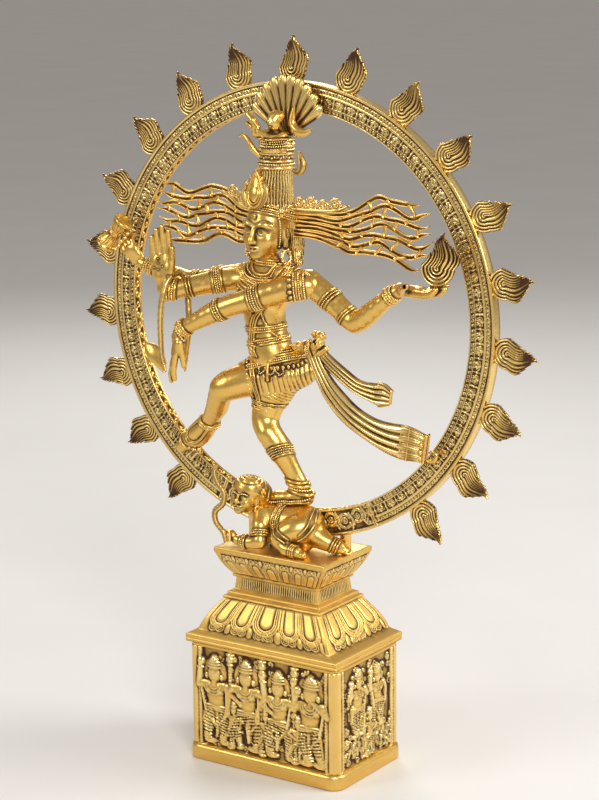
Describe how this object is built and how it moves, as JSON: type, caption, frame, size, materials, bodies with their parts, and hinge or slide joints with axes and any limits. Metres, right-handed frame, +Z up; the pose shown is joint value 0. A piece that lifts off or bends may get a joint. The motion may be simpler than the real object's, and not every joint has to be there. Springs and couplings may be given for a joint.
{
  "type": "brass nataraja statue",
  "caption": "Cast brass statue of a four-armed dancer on one leg inside an upright ring of flames, on a stepped lotus pedestal over a relief-carved box.",
  "frame": {"origin": "middle of the pedestal's foot, on the surface it stands on", "axes": "+Z up, +X to the viewer's right, -Y towards the viewer, ring in a plane across Y"},
  "size_m": [0.6696, 0.152, 0.9063],
  "materials": {
    "polished_brass": "hand-polished cast brass, bright on the highs, faint brown in the creases",
    "ornament_brass": "cast brass with dark brown patina left in the chased lines and bright worn edges",
    "relief_brass": "deep cast relief, dark brown patina in the ground and bright rubbed figures",
    "steel_fastener": "plain zinc-plated steel"
  },
  "bodies": {
    "root": {"arm_snake": "polished_brass", "aureole_ring": "ornament_brass", "blessing_arm": "polished_brass", "crescent_moon": "ornament_brass", "crossing_arm": "polished_brass", "crown": "ornament_brass", "drum": "polished_brass", "drum_arm": "polished_brass", "dwarf": "polished_brass", "dwarf_snake": "polished_brass", "feather_fan": "ornament_brass", "figure_stud_1": "steel_fastener", "figure_stud_2": "steel_fastener", "flame_01": "ornament_brass", "flame_02": "ornament_brass", "flame_03": "ornament_brass", "flame_04": "ornament_brass", "flame_05": "ornament_brass", "flame_06": "ornament_brass", "flame_07": "ornament_brass", "flame_08": "ornament_brass", "flame_09": "ornament_brass", "flame_10": "ornament_brass", "flame_11": "ornament_brass", "flame_12": "ornament_brass", "flame_13": "ornament_brass", "flame_14": "ornament_brass", "flame_15": "ornament_brass", "flame_16": "ornament_brass", "flame_17": "ornament_brass", "flame_18": "ornament_brass", "flame_19": "ornament_brass", "flame_arm": "polished_brass", "hair_wing_left": "ornament_brass", "hair_wing_right": "ornament_brass", "head": "polished_brass", "lotus_plinth": "ornament_brass", "palm_flame": "ornament_brass", "pedestal_box": "relief_brass", "plinth_bolt_1": "steel_fastener", "plinth_bolt_2": "steel_fastener", "plinth_bolt_3": "steel_fastener", "plinth_bolt_4": "steel_fastener", "raised_leg": "polished_brass", "ring_foot_1": "polished_brass", "ring_foot_2": "polished_brass", "ring_screw_1": "steel_fastener", "ring_screw_2": "steel_fastener", "river_bust": "ornament_brass", "sash_lower": "ornament_brass", "sash_upper": "ornament_brass", "standing_leg": "polished_brass", "torso": "polished_brass", "waist_cloth": "ornament_brass", "waist_knot": "ornament_brass"}
  },
  "joints": []
}
